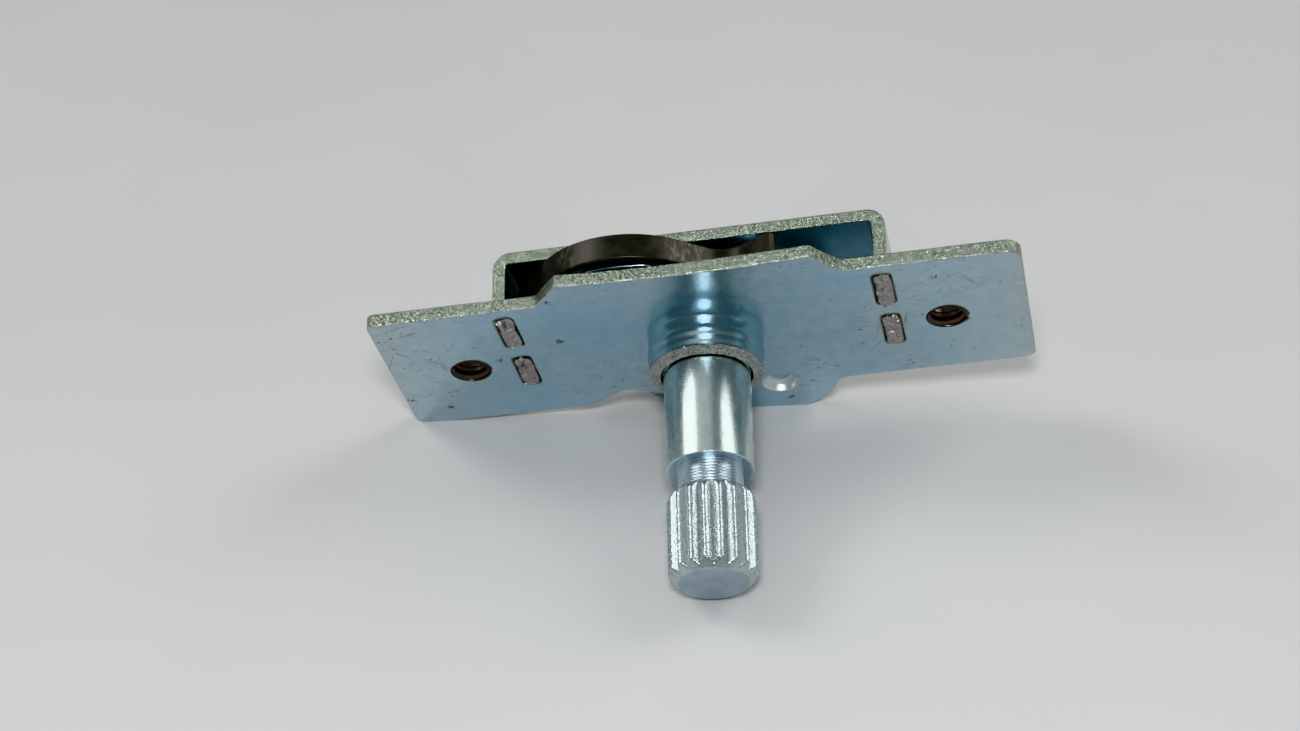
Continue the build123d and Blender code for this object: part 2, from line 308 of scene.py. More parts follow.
def darker(tint, share):
    """A tint with its light cut to a share."""
    return [c * share for c in tint[:3]] + [1]


def mix_colour(tree, amount, first, second):
    """A blend of two colours."""
    made = add(tree, "ShaderNodeMix", {0: amount, 6: first, 7: second}, data_type="RGBA")
    return made.outputs[2]


def bump(tree, height, strength, distance_mm, normal=None):
    """A bumped normal."""
    inputs = {"Height": height, "Strength": strength, "Distance": distance_mm * MM}
    if normal is not None:
        inputs["Normal"] = normal
    return add(tree, "ShaderNodeBump", inputs).outputs[0]


def finish_metal(tree, colour, roughness, normal, metallic=1.0):
    """The shader and the output of a metal finish."""
    inputs = {"Base Color": colour, "Roughness": roughness, "Normal": normal, "Metallic": metallic}
    shader = add(tree, "ShaderNodeBsdfPrincipled", inputs)
    add(tree, "ShaderNodeOutputMaterial", {"Surface": shader.outputs[0]})


# %% [markdown]
# ## Blue zinc on sheet
# Bright zinc under a blue passivation film is a metal with a cool tint. It is never even: the film goes brown-grey
# where it is thin, handling leaves fine hair scratches in many directions, and drops of rinse water leave dark
# specks. The colour is a blend of two tints, and scratches come from noise stretched into long thin streaks.

# %% Scratches and dents
def scratches(tree, turn, length_mm, width_mm, start):
    """Thin wandering streaks in one direction across the XZ plane, from 0 to 1."""
    point = object_point(tree, (0, turn, 0), (1 / length_mm, 1, 1 / width_mm), 6.0)
    inputs = {"Vector": point, "Scale": 1 / MM, "Detail": 1.0, "Roughness": 0.4}
    streak = add(tree, "ShaderNodeTexNoise", inputs).outputs[0]
    return between(tree, streak, start, start + 0.05)


def dents(tree, cell_mm, size, share):
    """Small ragged marks, in a share of the cells of a random grid, from 0 to 1."""
    point = object_point(tree, wander_mm=1.5)
    ragged = noise_value(tree, point, 0.3, 3)
    inputs = {"Vector": point, "Scale": 1 / (cell_mm * MM)}
    cells = add(tree, "ShaderNodeTexVoronoi", inputs, feature="F1")
    ragged = between(tree, ragged, 0.3, 0.7, -size, size)
    away = maths(tree, "ADD", ragged, cells.outputs["Distance"])
    near = between(tree, away, size, size * 0.7)
    luck = add(tree, "ShaderNodeSeparateColor", {0: cells.outputs["Color"]}).outputs[0]
    return times(tree, near, between(tree, luck, 1 - share, 1 - share + 0.02))


def larger(tree, values):
    """The largest of some values."""
    most = values[0]
    for value in values[1:]:
        most = maths(tree, "MAXIMUM", most, value)
    return most


# %% Plated sheet material
CLOUDED = 0.72
# The last of these colours is painted shade for the inside of the bracket's left leg.
SCRATCHED, SPECKED, PAINTED_SHADE = (0.2, 0.18, 0.15, 1), (0.06, 0.058, 0.052, 1), (0.03, 0.032, 0.034, 1)


def plated_sheet(name, film, thin_film, roughness, painted_shade=False):
    """Blue-passivated zinc on rolled sheet. The film is thinner towards the ends, and painted shade can darken the
    inside of the bracket's left leg.
    """
    material, tree = new_material(name)
    point = object_point(tree)
    x, y, _ = add(tree, "ShaderNodeSeparateXYZ", {0: point}).outputs
    patches = between(tree, noise_value(tree, point, 15, 4), 0.38, 0.66)
    out = maths(tree, "ABSOLUTE", x)
    patches = larger(tree, [times(tree, patches, 0.6), between(tree, out, 20 * MM, 42 * MM, 0, 0.9)])
    cloud = between(tree, noise_value(tree, point, 2.2, 5, 0.65), 0.35, 0.7)
    colour = mix_colour(tree, patches, film, thin_film)
    colour = mix_colour(tree, times(tree, cloud, 0.35), colour, darker(film, CLOUDED))
    fine = larger(tree, [scratches(tree, turn, 6, 0.2, 0.68) for turn in (12, 68, -38)])
    rubbed = between(tree, noise_value(tree, point, 14, 2), 0.45, 0.62)
    fine = times(tree, fine, rubbed)
    colour = mix_colour(tree, times(tree, fine, 0.55), colour, SCRATCHED)
    marks = larger(tree, [dents(tree, 4.2, 0.1, 0.45), times(tree, dents(tree, 1.3, 0.16, 0.4), rubbed)])
    colour = mix_colour(tree, times(tree, marks, 0.8), colour, SPECKED)
    # Painted shade: this darkens the inside of the bracket's left leg, beside the spring's tail, where shade falls.
    if painted_shade:
        inside = times(tree, between(tree, x, -8 * MM, -15 * MM), between(tree, y, 8 * MM, 7.5 * MM))
        colour = mix_colour(tree, times(tree, inside, 0.9), colour, PAINTED_SHADE)
    rough = between(tree, cloud, 0, 1, roughness, roughness + 0.12)
    normal = bump(tree, noise_value(tree, point, 7, 2), 0.2, 0.1)
    normal = bump(tree, noise_value(tree, point, 0.12, 2), 0.1, 0.01, normal)
    normal = bump(tree, larger(tree, [fine, marks]), -0.4, 0.03, normal)
    finish_metal(tree, colour, rough, normal)
    return material


ZINC_FACE = plated_sheet("zinc_face", (0.38, 0.56, 0.68, 1), (0.55, 0.62, 0.64, 1), 0.15)
ZINC_BRACKET = plated_sheet("zinc_bracket", (0.38, 0.52, 0.57, 1), (0.46, 0.56, 0.58, 1), 0.16, painted_shade=True)
print("plated sheet:", ZINC_FACE.name, ZINC_BRACKET.name)

# %% [markdown]
# ## Sheared edges
# A press shears steel: the cut edge is first smooth, then torn. Plating over the tear sparkles, because every tiny
# facet faces its own way. Torn noise and small packed cones, both as strong bumps, sparkle without any extra mesh.

# %% Sheared edge material
def facets(tree, size_mm):
    """A height of small cones packed side by side, whose slopes glint each its own way."""
    point = object_point(tree, wander_mm=0.6)
    return add(tree, "ShaderNodeTexVoronoi", {"Vector": point, "Scale": 1 / (size_mm * MM)}).outputs["Distance"]


def sheared_edge(name, tint, roughness, strength, glint_mm, depth):
    """Plated metal over a torn edge. Depth is how much darker the hollows are."""
    material, tree = new_material(name)
    torn = noise_value(tree, object_point(tree, stretch=(1, 0.6, 1)), 0.26, 4, 0.65)
    shade = between(tree, torn, 0.34, 0.62)
    colour = mix_colour(tree, shade, darker(tint, depth), tint)
    normal = bump(tree, torn, strength, 0.14)
    normal = bump(tree, facets(tree, glint_mm), strength, glint_mm * 0.4, normal)
    finish_metal(tree, colour, roughness, normal)
    return material


ZINC_EDGE = sheared_edge("zinc_edge", (0.4, 0.46, 0.38, 1), 0.2, 0.85, 0.24, 0.5)
# The burr's pale tint is partly the rollover's own brightness and partly a painted glint along the plate's front
# edge.
BURR_GLINT_ZINC = sheared_edge("burr_painted_glint", (0.66, 0.72, 0.68, 1), 0.16, 1.0, 0.35, 0.3)
RIM_TORN = sheared_edge("rim_torn", (0.6, 0.6, 0.58, 1), 0.3, 1.0, 0.36, 0.35)
CRUSHED = sheared_edge("crushed_steel", (0.5, 0.46, 0.46, 1), 0.34, 0.6, 0.45, 0.6)
print("edges:", ZINC_EDGE.name, RIM_TORN.name, CRUSHED.name)

# %% [markdown]
# ## Turned parts
# A lathe leaves fine rings round the axis. The spindle was polished before plating, so its rings are faint on the
# sleeve and plain in the clip groove. The distance from the axis and the place along it are all that a turned
# finish needs, so its noise is stretched into rings with a separate scale for Y.

# %% Turned and splined materials
def turned_zinc(name, tint, roughness, ring_strength, speckle):
    """Plated metal with turning rings round the Y axis and a speckle of plating pits."""
    material, tree = new_material(name)
    point = object_point(tree)
    rings = noise_value(tree, object_point(tree, stretch=(0.004, 1, 0.004)), 0.12, 3, 0.7)
    cloud = between(tree, noise_value(tree, point, 1.6, 4), 0.35, 0.7)
    pits = between(tree, noise_value(tree, point, 0.22, 3, 0.6), 0.62, 0.74)
    colour = mix_colour(tree, times(tree, cloud, 0.5), tint, darker(tint, CLOUDED))
    colour = mix_colour(tree, times(tree, pits, speckle), colour, (0.12, 0.13, 0.12, 1))
    rough = between(tree, cloud, 0, 1, roughness, roughness + 0.1)
    normal = bump(tree, rings, ring_strength, 0.02)
    normal = bump(tree, noise_value(tree, point, 0.2, 3, 0.6), speckle * 0.5, 0.03, normal)
    if speckle > 0.5:
        normal = bump(tree, facets(tree, 0.24), speckle * 0.4, 0.08, normal)
    finish_metal(tree, colour, rough, normal)
    return material


ZINC_SLEEVE = turned_zinc("zinc_sleeve", (0.58, 0.67, 0.66, 1), 0.2, 0.16, 0.4)
ZINC_GROOVE = turned_zinc("zinc_groove", (0.56, 0.68, 0.74, 1), 0.2, 1.0, 0.2)
ZINC_SPLINE = turned_zinc("zinc_spline", (0.52, 0.6, 0.61, 1), 0.24, 0.0, 1.0)
ZINC_TIP = turned_zinc("zinc_tip", (0.4, 0.49, 0.55, 1), 0.34, 0.1, 0.3)
ZINC_COLLAR = turned_zinc("zinc_collar", (0.42, 0.56, 0.6, 1), 0.18, 0.3, 0.5)
# The dish's pale tint is a painted highlight: it brightens the stop's dish wall, which the lamps behind the plate
# can't reach.
DISH_HIGHLIGHT = turned_zinc("dish_painted_highlight", (0.8, 0.86, 0.84, 1), 0.34, 0.0, 0.1)
print("turned:", ZINC_SLEEVE.name, ZINC_GROOVE.name, ZINC_SPLINE.name, ZINC_TIP.name, ZINC_COLLAR.name)

# %% [markdown]
# ## Blackened spring steel, threads and plain steel
# The leaf is heat-blackened and oiled. It is worn to brown where it bends and rubs, so its wear is placed by
# distance from those two places on the arch. Cutting oil has browned the threads.

# %% Spring, thread and inner materials
def near_x(tree, point, x_mm, half_width_mm):
    """1 at a place along X, falling to 0 at a distance from it."""
    x = add(tree, "ShaderNodeSeparateXYZ", {0: point}).outputs[0]
    away = maths(tree, "ABSOLUTE", maths(tree, "SUBTRACT", x, x_mm * MM))
    return between(tree, away, 0.2 * half_width_mm * MM, half_width_mm * MM, 1, 0)


def blackened_spring(name, wear_places):
    """Dark spring steel, worn at (x, half width) places."""
    material, tree = new_material(name)
    point = object_point(tree)
    cloud = noise_value(tree, point, 1.4, 5, 0.6)
    colour = mix_colour(tree, between(tree, cloud, 0.35, 0.7), (0.03, 0.03, 0.027, 1), (0.06, 0.057, 0.048, 1))
    rub = between(tree, noise_value(tree, object_point(tree, stretch=(1, 0.35, 1)), 0.5, 4, 0.7), 0.5, 0.62)
    for x_mm, half_width in wear_places:
        worn = times(tree, near_x(tree, point, x_mm, half_width), rub)
        colour = mix_colour(tree, times(tree, worn, 0.35), colour, (0.28, 0.26, 0.2, 1))
    normal = bump(tree, cloud, 0.3, 0.05)
    normal = bump(tree, noise_value(tree, point, 0.15, 2), 0.25, 0.02, normal)
    finish_metal(tree, colour, between(tree, cloud, 0.3, 0.7, 0.3, 0.46), normal, 0.85)
    return material


def plain_metal(name, tint, roughness, grain_mm, strength):
    """An even metal with a fine grain."""
    material, tree = new_material(name)
    grain = noise_value(tree, object_point(tree), grain_mm, 4)
    colour = mix_colour(tree, between(tree, grain, 0.35, 0.7), tint, darker(tint, 0.6))
    finish_metal(tree, colour, roughness, bump(tree, grain, strength, 0.03))
    return material


SPRING = blackened_spring("blackened_spring", [(-14.2, 1.6), (0.2, 2.6)])
SPRING_CUT = sheared_edge("spring_cut", (0.2, 0.17, 0.13, 1), 0.4, 0.6, 0.17, 0.6)
THREAD = plain_metal("oiled_thread", (0.13, 0.107, 0.092, 1), 0.28, 0.3, 0.5)
LEVER_ZINC = plain_metal("zinc_lever", (0.5, 0.57, 0.6, 1), 0.26, 0.8, 0.15)
OILED_STEEL = plain_metal("oiled_steel", (0.3, 0.3, 0.3, 1), 0.3, 0.6, 0.2)
print("dark metals:", SPRING.name, THREAD.name, OILED_STEEL.name)

# %% [markdown]
# ## The front plate
# One blanked sheet carries everything: two wings, a raised middle, a lobe below for the stop, four slots and two
# tapped holes. Its top edge sags a little where the collar pulled metal in. The plate is lofted from its outline,
# and every hole has its own wall, so the flats can be filled between the loops.

# %% Plate outline
SHEET = 1.8
WING = box_mm("front_plate")[1].x
WING_TOP, WING_BOTTOM = 13.4, -12.2
CROWN_TOP, CROWN_SAG = 17.5, 0.65
CROWN_HALF, CROWN_FOOT, CROWN_R = 15.4, 18.7, 0.6
NOTCH_FOOT, NOTCH = (-16.8, 3.0), (-11.9, -9.0, 2.0)
LOBE, LOBE_R, LOBE_BLEND = (7.8, -11.5), 7.1, 2.0


def lobe_edge():
    """The lobe's arc, from the notch's tangent round to the blend with the right wing."""
    away = Vector(LOBE) - Vector(NOTCH[:2])
    slope = math.degrees(math.atan2(away.y, away.x) - math.asin(LOBE_R / away.length))
    blend_z = WING_BOTTOM - LOBE_BLEND
    blend_x = LOBE[0] + math.sqrt((LOBE_R + LOBE_BLEND) ** 2 - (blend_z - LOBE[1]) ** 2)
    meets = math.degrees(math.atan2(blend_z - LOBE[1], blend_x - LOBE[0]))
    edge = arc(LOBE, LOBE_R, slope - 90, meets, 30)
    return edge + arc((blend_x, blend_z), LOBE_BLEND, 180 + meets, 90, 8)


def crown_edge():
    """The raised middle's sagging top edge, from right to left without its ends."""
    steps = 16
    points = []
    for i in range(1, steps):
        x = CROWN_HALF * (1 - 2 * i / steps)
        points.append((x, CROWN_TOP - CROWN_SAG * (1 - (x / CROWN_HALF) ** 2)))
    return points


plate_corners = [(-WING, WING_BOTTOM, 2.0), (NOTCH_FOOT[0], WING_BOTTOM, NOTCH_FOOT[1]), NOTCH]
plate_corners += [(x, z, 0) for x, z in lobe_edge()]
plate_corners += [(WING, WING_BOTTOM, 1.3), (WING, WING_TOP, 2.0)]
plate_corners += [(CROWN_FOOT, WING_TOP, CROWN_R), (CROWN_HALF, CROWN_TOP, CROWN_R)]
plate_corners += [(x, z, 0) for x, z in crown_edge()]
plate_corners += [(-CROWN_HALF, CROWN_TOP, CROWN_R), (-CROWN_FOOT, WING_TOP, CROWN_R)]
plate_corners += [(-WING, WING_TOP, 1.0)]
PLATE_OUTLINE = rounded(plate_corners)
print("plate outline of", len(PLATE_OUTLINE), "points, wing", round(WING, 2))

# %% [markdown]
# The collar is drawn up out of the same sheet: a nearly sharp root, a low ridge half way, a wall that tapers, and a
# rim that the punch tore, so its points are shaken by noise. Each profile point is a radius and a depth.

# %% Collar, stop, slots and holes
COLLAR_STEPS, HOLE_STEPS = 160, 48
RIM_R, MOUTH_R, BORE_R = 7.07, 5.8, 5.46
RIM_Y, MOUTH_Y = -4.15, -4.7
BORE_ENTRY = 1.0
STOP, STOP_R, STOP_HIGH = (7.6, -11.7), 2.4, 1.2
BOLT_X, BOLT_MOUTH, BOLT_WALL = 30.0, 2.62, 2.42
NECK_R, NECK_END = 3.2, 3.0
SLOT_X, SLOT_W, SLOT_H, SLOT_R = 23.15, 2.4, 6.8, 0.7
TENON_ZS = (7.9, -1.65)
FACE, EDGE, TORN, DARK, BRIGHT, BURR, DISH = range(7)


def torn_ring(bm, radius, y, roughness):
    """A ring of the collar's rim with its points shaken."""
    points = []
    for x, z in circle(radius, COLLAR_STEPS):
        shake = noise.noise(Vector((x * 2.3, y * 5, z * 2.3)))
        fine = noise.noise(Vector((x * 7, y * 9, z * 7)))
        points.append((x, y + roughness * (0.7 * shake + 0.5 * fine), z))
    return ring(bm, points)


def collar_skin(bm):
    """The collar from the plate's front face to its back face. Returns the loops in both faces."""
    root = [(7.22, 0), (7.19, -0.01), (7.18, -0.04), (7.15, -0.6), (7.14, -1.1), (7.14, -1.38)]
    line = [(7.16, -1.42), (7.23, -1.46), (7.25, -1.52), (7.26, -2.0), (7.23, -2.3), (7.13, -2.6)]
    wall = [(7.11, -2.8), (7.11, -3.15), (7.08, -3.4), (7.0, -3.7), (6.98, -3.9), (RIM_R - 0.06, RIM_Y + 0.12)]
    outer = turned_rings(bm, root + line + wall, COLLAR_STEPS)
    band_count = 5
    rim = []
    for i in range(band_count + 1):
        t = i / band_count
        rough = 0.13 if 0 < i < band_count else 0.07
        rim.append(torn_ring(bm, RIM_R - 0.05 + (MOUTH_R - RIM_R) * t, RIM_Y + (MOUTH_Y - RIM_Y) * t, rough))
    entry = arc((BORE_R + BORE_ENTRY, SHEET - BORE_ENTRY), BORE_ENTRY, 180, 90, 6)
    bore = [(MOUTH_R - 0.12, MOUTH_Y + 0.12), (BORE_R, RIM_Y + 0.1), *entry]
    inner = turned_rings(bm, bore, COLLAR_STEPS)
    loft(bm, outer, BRIGHT)
    band(bm, outer[-1], rim[0], TORN)
    loft(bm, rim, TORN)
    band(bm, rim[-1], inner[0], TORN)
    loft(bm, inner, DARK)
    return outer[0], inner[-1]


def stop_skin(bm):
    """The stop's smooth dish in the front and its boss on the back. Returns the loops in both faces."""
    dish = [(2.36, 0), (2.29, 0.03), (2.24, 0.1), (2.18, 0.26), (2.08, 0.55)]
    dish += [(1.93, 0.82), (1.74, 1.03), (1.5, 1.13), (1.2, 1.17)]
    rings = turned_rings(bm, dish, HOLE_STEPS, STOP)
    loft(bm, rings, DISH)
    cap(bm, rings[-1], FACE)
    top = SHEET + STOP_HIGH
    edge = arc((STOP_R - 0.3, top - 0.3), 0.3, 0, 90, 4)
    root = [(STOP_R + 0.2, SHEET), (STOP_R + 0.05, SHEET + 0.08), (STOP_R, SHEET + 0.25)]
    boss = turned_rings(bm, root + edge, HOLE_STEPS, STOP)
    loft(bm, boss, FACE)
    cap(bm, boss[-1], FACE)
    return rings[0], boss[0]


def slot_skin(bm, outline, front_edge, back_edge, zone):
    """The wall of a slot through the sheet. The blow on the tenon also pressed in the sheet above it."""
    front = [(-d, y) for d, y in round_over(front_edge, 0, 1)]
    back = [(-d, y) for d, y in reversed(round_over(back_edge, SHEET, -1))]
    rings = [flat_ring(bm, inset(outline, d), y) for d, y in front + back]
    top = max(z for _, z in outline)
    for reach, row in zip((0.5, 0.42, 0.2), rings):
        for vert in row:
            if vert.co.z / MM > top - 0.5:
                vert.co.z += (reach + 0.25 * noise.noise(vert.co * 900)) * MM
    return loft(bm, rings, zone)


def bolt_skin(bm, x):
    """A tapped hole through the sheet and the short neck behind it. Returns the loops in both faces."""
    lead = BOLT_MOUTH - BOLT_WALL
    inside = [(BOLT_MOUTH, 0), (BOLT_MOUTH - 0.05, 0.04), (BOLT_WALL, lead), (BOLT_WALL, NECK_END - 0.25)]
    lip = [(BOLT_WALL + 0.25, NECK_END), (NECK_R - 0.3, NECK_END), (NECK_R - 0.12, NECK_END - 0.1)]
    outside = [(NECK_R, NECK_END - 0.3), (NECK_R + 0.02, SHEET + 0.3), (NECK_R + 0.12, SHEET + 0.1)]
    outside.append((NECK_R + 0.35, SHEET))
    rings = turned_rings(bm, inside + lip + outside, HOLE_STEPS, (x, 0))
    loft(bm, rings[: len(inside)], DARK)
    loft(bm, rings[len(inside) - 1 : len(inside) + 2], TORN)
    loft(bm, rings[len(inside) + 1 :], FACE)
    return rings[0], rings[-1]


def plate_skin(bm):
    """The whole plate."""
    edge_r = 0.16
    front = round_over(edge_r, 0, 1)
    back = list(reversed(round_over(edge_r * 1.6, SHEET, -1)))
    rings = [flat_ring(bm, inset(PLATE_OUTLINE, d), y) for d, y in front + back]
    # The front rounding gets the burr finish, whose pale tint paints a glint along the edge.
    loft(bm, rings[: len(front)], BURR)
    loft(bm, rings[len(front) - 1 :], EDGE)
    loops = [(rings[0], rings[-1]), collar_skin(bm), stop_skin(bm)]
    for side in (-1, 1):
        loops.append(bolt_skin(bm, side * BOLT_X))
        for z in TENON_ZS:
            x, half_w, half_h = side * SLOT_X, SLOT_W / 2, SLOT_H / 2
            corners = [(x + a * half_w, z + b * half_h, SLOT_R) for a, b in ((-1, -1), (1, -1), (1, 1), (-1, 1))]
            loops.append(slot_skin(bm, rounded(corners, steps=4), 0.2, 0.1, EDGE))
    for side_loops in zip(*loops):
        fill(bm, side_loops, FACE)


plate_finishes = [ZINC_FACE, ZINC_EDGE, RIM_TORN, THREAD, ZINC_COLLAR, BURR_GLINT_ZINC, DISH_HIGHLIGHT]
make_piece("front_plate_skin", built(plate_skin), plate_finishes, "housing", ["front_plate"])

# %% [markdown]
# ## Threads in the tapped holes
# A thread is one ridge along a helix, which is what Geometry Nodes does well: a spiral curve carries a small
# triangle through the hole. The ridge fades to nothing at both ends, as a tap leaves it, by scaling the curve's
# radius along its length. The tree is built once, with its sizes as named inputs, and both holes use it.

# %% A thread tree
THREAD_SIZES = {"Turns": 3.6, "Radius": 0.0024, "Length": 0.0029, "Ridge": 0.0004}


def group_input(tree, name, kind, value):
    """A named input of a node group."""
    socket = tree.interface.new_socket(name=name, in_out="INPUT", socket_type=kind)
    if value is not None:
        socket.default_value = value


def new_geometry_tree(name):
    """An empty Geometry Nodes group with one geometry in and one out."""
    tree = bpy.data.node_groups.new(name, "GeometryNodeTree")
    tree.interface.new_socket(name="Geometry", in_out="INPUT", socket_type="NodeSocketGeometry")
    tree.interface.new_socket(name="Geometry", in_out="OUTPUT", socket_type="NodeSocketGeometry")
    return tree


def thread_tree():
    """A ridge of triangular section along a helix."""
    tree = new_geometry_tree("thread_ridge")
    for name, value in THREAD_SIZES.items():
        group_input(tree, name, "NodeSocketFloat", value)
    group_input(tree, "Finish", "NodeSocketMaterial", None)
    given = tree.nodes.new("NodeGroupInput").outputs
    sizes = {"Resolution": 40, "Rotations": given["Turns"], "Height": given["Length"]}
    sizes.update({"Start Radius": given["Radius"], "End Radius": given["Radius"]})
    helix = add(tree, "GeometryNodeCurveSpiral", sizes).outputs[0]
    along = add(tree, "GeometryNodeSplineParameter").outputs["Factor"]
    middle = maths(tree, "ABSOLUTE", maths(tree, "SUBTRACT", along, 0.5))
    fade = add(tree, "ShaderNodeMapRange", {0: middle, 1: 0.34, 2: 0.5, 3: 1.0, 4: 0.05}).outputs[0]
    helix = add(tree, "GeometryNodeSetCurveRadius", {"Curve": helix, "Radius": fade}).outputs[0]
    section = add(tree, "GeometryNodeCurvePrimitiveCircle", {"Resolution": 4, "Radius": given["Ridge"]}).outputs[0]
    sweep = {"Curve": helix, "Profile Curve": section, "Fill Caps": True}
    ridge = add(tree, "GeometryNodeCurveToMesh", sweep).outputs[0]
    ridge = add(tree, "GeometryNodeRealizeInstances", {0: ridge}).outputs[0]
    ridge = add(tree, "GeometryNodeSetMaterial", {"Geometry": ridge, "Material": given["Finish"]}).outputs[0]
    add(tree, "NodeGroupOutput", {0: ridge})
    return tree


def run_tree(tree, name, source, values):
    """The plain mesh that a tree makes of a source mesh."""
    holder = placed(name, source)
    modifier = holder.modifiers.new(name, "NODES")
    modifier.node_group = tree
    for item in tree.interface.items_tree:
        if item.in_out == "INPUT" and item.name in values:
            modifier[item.identifier] = values[item.name]
    graph = bpy.context.evaluated_depsgraph_get()
    made = bpy.data.meshes.new_from_object(holder.evaluated_get(graph), depsgraph=graph)
    bpy.data.objects.remove(holder)
    return made


THREAD_TREE = thread_tree()
print("thread tree of", len(THREAD_TREE.nodes), "nodes")

# %% Both threads
thread_bm = bmesh.new()
for side in (-1, 1):
    ridge = run_tree(THREAD_TREE, "thread_ridge", bpy.data.meshes.new("empty"), {"Finish": THREAD})
    ridge.transform(Matrix.Translation((side * BOLT_X * MM, 0, 0)) @ Matrix.Rotation(math.radians(-90), 4, "X"))
    thread_bm.from_mesh(ridge)
make_piece("bolt_threads", thread_bm, [THREAD], "housing")

# %% [markdown]
# ## The rear bracket
# A strip bent into a U, seen mostly by its cut top edge. It is lofted upwards from its plan outline, so the bends
# are true arcs of the sheet. The bearing hole for the spindle's journal is a real cut, made by a Boolean modifier
# that is applied at once. Its four tenons pass through the plate and are hammered flat.

# %% Bracket walls
STRIP = 1.6
BRACKET_LOW, BRACKET_HIGH = box_mm("rear_bracket")
OUT_X = 24.2
OUT_Y = BRACKET_HIGH.y
TOP, BOTTOM = BRACKET_HIGH.z, BRACKET_LOW.z
IN_X, IN_Y = OUT_X - STRIP, OUT_Y - STRIP
IN_BEND, OUT_BEND = 0.6, 2.2
JOURNAL_HOLE_R = 3.86


def plan_ring(bm, outline, z):
    """A ring of an (x, y) outline at a height z."""
    return ring(bm, [(x, y, z) for x, y in outline])


def bracket_skin(bm):
    """The U of the bracket, closed at its top and bottom edges."""
    corners = [(-OUT_X, SHEET, 0.15), (-IN_X, SHEET, 0.15), (-IN_X, IN_Y, IN_BEND), (IN_X, IN_Y, IN_BEND)]
    corners += [(IN_X, SHEET, 0.15), (OUT_X, SHEET, 0.15), (OUT_X, OUT_Y, OUT_BEND), (-OUT_X, OUT_Y, OUT_BEND)]
    plan = rounded(corners, steps=10)
    low = round_over(0.16, BOTTOM, 1)
    high = list(reversed(round_over(0.16, TOP, -1)))
    rings = [plan_ring(bm, inset(plan, d), z) for d, z in low + high]
    first, last = loft(bm, rings[:4], EDGE), loft(bm, rings[4:], EDGE)
    band(bm, rings[3], rings[4], FACE)
    fill(bm, [first[0]], EDGE)
    fill(bm, [last[1]], EDGE)


def cut(piece, cutter):
    """Cuts a closed mesh out of a piece and removes the cutter."""
    boolean = piece.modifiers.new("cut", "BOOLEAN")
    boolean.object = cutter
    boolean.operation = "DIFFERENCE"
    boolean.solver = "EXACT"
    while piece.modifiers[0] != boolean:
        bpy.context.view_layer.objects.active = piece
        with bpy.context.temp_override(object=piece):
            bpy.ops.object.modifier_move_up(modifier="cut")
    with bpy.context.temp_override(object=piece, active_object=piece):
        bpy.ops.object.modifier_apply(modifier="cut")
    bpy.data.objects.remove(cutter)


def round_cutter(radius, start, end):
    """A closed cylinder along Y for cutting."""
    bm = bmesh.new()
    for end_ring in loft(bm, turned_rings(bm, [(radius, start), (radius, end)], 96)):
        cap(bm, end_ring)
    bmesh.ops.recalc_face_normals(bm, faces=bm.faces)
    return placed("cutter", mesh_from(bm, "cutter"))


bracket_finishes = [ZINC_BRACKET, ZINC_EDGE]
bracket_bm = built(bracket_skin)
bracket = make_piece("rear_bracket_skin", bracket_bm, bracket_finishes, "housing", ["rear_bracket"])
cut(bracket, round_cutter(JOURNAL_HOLE_R, IN_Y - 1, OUT_Y + 1))
print("bracket after the cut:", len(bracket.data.polygons), "faces")

# %% [markdown]
# ## Staked tenons
# Each tenon end was struck with a chisel punch: the steel spread towards the slot's walls, left a gap on one side,
# and its plating was crushed to raw grey steps. A grid is laid over a rounded rectangle, and noise with a
# stepped part makes the blows.

# %% Tenons
TENON_W, TENON_H, TENON_R = 2.15, 6.3, 0.65
CRUSH = 0.7
# side of the plate, level, how far the blow pushed it outwards and down, and its seed
STAKES = [(-1, 0, 0.09, -0.37, 3), (-1, 1, 0.09, -0.37, 11), (1, 0, -0.02, -0.3, 23), (1, 1, 0.02, -0.33, 31)]


def crushed_depth(x, z, seed):
    """How deep a blow has left a point of a tenon's end, in millimetres."""
    bend = noise.noise(Vector((x * 0.7, z * 0.5, seed)))
    step = (z + 0.5 * x + 1.6 * bend) / 1.5
    blow = abs(noise.noise(Vector((math.floor(step) * 3.1, seed, 0.5))))
    slope = abs((step % 1) - 0.75) * 1.3
    grit = noise.noise(Vector((x * 2.6, z * 2.6, seed)))
    high = (z + TENON_H / 2) / TENON_H
    return max(0.03, CRUSH * (blow + 0.5 * slope) * (0.3 + 0.7 * high) + 0.08 * grit)


def soft_corner(x, z):
    """A point of the tenon's rectangle, with its corners pulled in to their radius."""
    inner = Vector((TENON_W / 2 - TENON_R, TENON_H / 2 - TENON_R))
    core = Vector((max(-inner.x, min(inner.x, x)), max(-inner.y, min(inner.y, z))))
    over = Vector((x, z)) - core
    if over.length > TENON_R:
        over.length = TENON_R
    return core + over


def tenon_skin(bm, x, z, seed):
    """One tenon: a grid over its crushed end, with walls back into the bracket's leg."""
    columns, rows = 12, 26
    grid = []
    for j in range(rows + 1):
        row = []
        for i in range(columns + 1):
            place = soft_corner(TENON_W * (i / columns - 0.5), TENON_H * (j / rows - 0.5))
            y = crushed_depth(place.x, place.y, seed)
            rim = 0.1 if i in (0, columns) or j == rows else 0
            row.append(bm.verts.new(Vector((x + place.x, y + rim, z + place.y)) * MM))
        grid.append(row)
    for low, high in zip(grid, grid[1:]):
        for i in range(columns):
            bm.faces.new((low[i], low[i + 1], high[i + 1], high[i])).smooth = True
    edge = grid[0] + [row[-1] for row in grid[1:]] + grid[-1][-2::-1] + [row[0] for row in grid[-2:0:-1]]
    deep = ring(bm, [(v.co.x / MM, SHEET + 0.4, v.co.z / MM) for v in edge])
    band(bm, edge, deep)
    cap(bm, deep)


